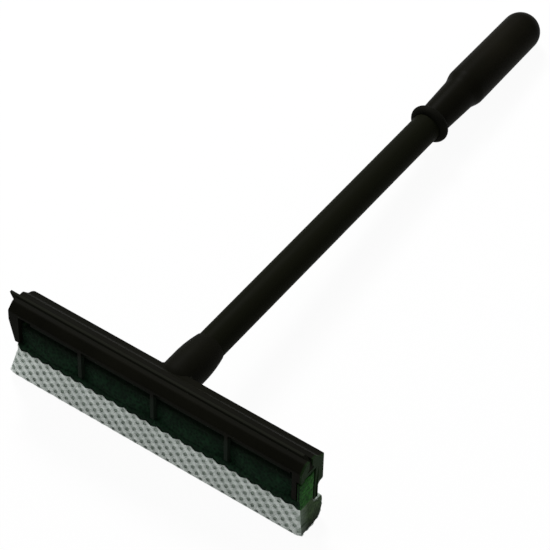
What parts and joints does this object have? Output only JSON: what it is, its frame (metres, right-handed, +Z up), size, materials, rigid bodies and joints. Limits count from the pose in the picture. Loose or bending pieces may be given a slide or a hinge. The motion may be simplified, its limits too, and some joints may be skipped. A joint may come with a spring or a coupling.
{
  "type": "squeegee",
  "caption": "Hand squeegee for windscreens: moulded head with a rubber wiper blade above and a netted sponge pad below, on a straight round handle with a hand stop and a smooth grip.",
  "frame": {"origin": "middle of the flat that the underside of the sponge pad is pressed to where the tool lies on a floor", "axes": "+X along the head, towards its right end as seen from the front; +Y back along the handle, towards the grip; +Z up from the floor, with the wiper blade on top"},
  "size_m": [0.2109, 0.4003, 0.0586],
  "materials": {
    "head_plastic": "satin black moulding with a fine grain",
    "blade_rubber": "smooth black rubber",
    "green_foam": "dark green open-cell foam",
    "white_net": "white knitted polyester mesh",
    "shaft_plastic": "satin black extruded tube",
    "ring_rubber": "black rubber",
    "grip_plastic": "satin black moulding",
    "screw_steel": "zinc plated"
  },
  "bodies": {
    "tool": {"head_frame": "head_plastic", "sponge": "green_foam", "sponge_net": "white_net", "backing_strip": "head_plastic", "shaft_tube": "shaft_plastic", "hand_stop_ring": "ring_rubber", "grip": "grip_plastic", "socket_screw": "screw_steel"},
    "blade": {"wiper_blade": "blade_rubber"}
  },
  "joints": [
    {"name": "blade_slide", "type": "slide", "parent": "tool", "child": "blade", "axis": [1, 0, 0], "range_m": [-0.185, 0.185]}
  ]
}
